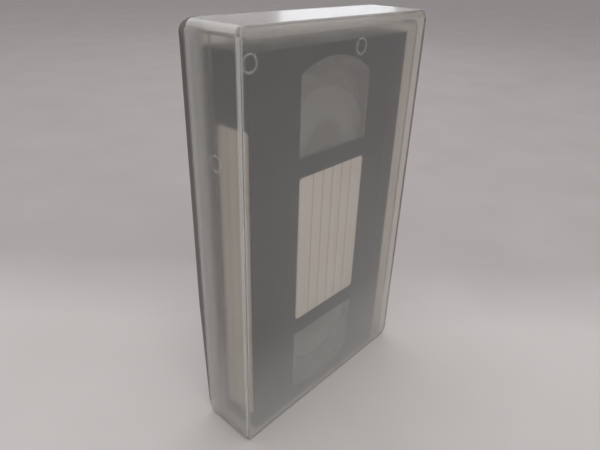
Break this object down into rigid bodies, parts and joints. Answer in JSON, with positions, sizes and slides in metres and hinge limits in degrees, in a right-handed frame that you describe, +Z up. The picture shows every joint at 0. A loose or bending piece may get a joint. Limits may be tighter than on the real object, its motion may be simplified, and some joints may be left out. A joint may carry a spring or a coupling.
{
  "type": "vhs tape",
  "caption": "Video cassette lying in a translucent hinged library case that stands on its end; the case opens at two living hinges and the reels, roller and brakes inside turn.",
  "frame": {"origin": "centre of the bottom end, at the lowest point, in the middle of the bounding box", "axes": "+Z up along the case's length, front cover facing -Y, spine panel facing -X, opening side at +X"},
  "size_m": [0.122, 0.034, 0.199],
  "materials": {
    "case_polypropylene": "translucent",
    "shell_plastic": "fine grain",
    "clear_plastic": "clear",
    "label_paper": "coated paper",
    "magnetic_tape": "satin",
    "reel_plastic": "satin",
    "brake_plastic": "satin",
    "spring_steel": "drawn",
    "felt": "felt"
  },
  "bodies": {
    "tray": {"back_tray": "case_polypropylene", "upper_shell": "shell_plastic", "lower_shell": "shell_plastic", "tape_door": "shell_plastic", "supply_window": "clear_plastic", "take_up_window": "clear_plastic", "face_label": "label_paper", "spine_label": "label_paper", "door_spring": "spring_steel", "door_latch": "shell_plastic", "tape_run": "magnetic_tape", "roller_pin": "spring_steel", "guide_post": "spring_steel", "slack_leaf": "spring_steel", "slack_felt": "felt", "brake_spring": "spring_steel", "pressure_spring": "spring_steel", "shell_screws": "spring_steel"},
    "spine": {"spine_panel": "case_polypropylene"},
    "cover": {"front_cover": "case_polypropylene"},
    "supply_reel_body": {"supply_reel": "reel_plastic", "supply_top_flange": "clear_plastic", "supply_leader_clip": "reel_plastic", "supply_tape_pack": "magnetic_tape"},
    "take_up_reel_body": {"take_up_reel": "reel_plastic", "take_up_top_flange": "clear_plastic", "take_up_leader_clip": "reel_plastic", "take_up_tape_pack": "magnetic_tape"},
    "roller": {"guide_roller": "reel_plastic"},
    "release_lever": {"brake_release_lever": "brake_plastic"},
    "supply_brake_arm": {"supply_brake": "brake_plastic"},
    "take_up_brake_arm": {"take_up_brake": "brake_plastic"}
  },
  "joints": [
    {"name": "rear_hinge", "type": "hinge", "parent": "tray", "child": "spine", "pos_m": [-0.0603, 0.0123, 0.0995], "axis": [0, 0, -1], "range_deg": [0, 90]},
    {"name": "front_hinge", "type": "hinge", "parent": "spine", "child": "cover", "pos_m": [-0.0603, -0.0163, 0.0995], "axis": [0, 0, -1], "range_deg": [0, 90]},
    {"name": "supply_reel_spin", "type": "hinge", "parent": "tray", "child": "supply_reel_body", "pos_m": [-0.0062, 0, 0.14225], "axis": [0, 1, 0], "continuous": true},
    {"name": "take_up_reel_spin", "type": "hinge", "parent": "tray", "child": "take_up_reel_body", "pos_m": [-0.0062, 0, 0.04975], "axis": [0, 1, 0], "continuous": true},
    {"name": "guide_roller_spin", "type": "hinge", "parent": "tray", "child": "roller", "pos_m": [0.0405, 0, 0.18], "axis": [0, 1, 0], "continuous": true},
    {"name": "brake_release", "type": "hinge", "parent": "tray", "child": "release_lever", "pos_m": [-0.028, 0.0066, 0.096], "axis": [0, 0, -1], "range_deg": [0, 10], "stiffness_Nm_per_rad": 0.004, "springref_deg": -5.73},
    {"name": "supply_brake_swing", "type": "hinge", "parent": "tray", "child": "supply_brake_arm", "pos_m": [-0.0442, 0.004, 0.10304], "axis": [0, 1, 0], "range_deg": [0, 6]},
    {"name": "take_up_brake_swing", "type": "hinge", "parent": "tray", "child": "take_up_brake_arm", "pos_m": [-0.0442, 0.004, 0.08896], "axis": [0, -1, 0], "range_deg": [0, 6]}
  ],
  "couplings": [
    {"joint": "take_up_reel_spin", "follows": "supply_reel_spin", "ratio": 1.2222},
    {"joint": "guide_roller_spin", "follows": "supply_reel_spin", "ratio": 11},
    {"joint": "supply_brake_swing", "follows": "brake_release", "ratio": 0.6},
    {"joint": "take_up_brake_swing", "follows": "brake_release", "ratio": 0.6}
  ]
}
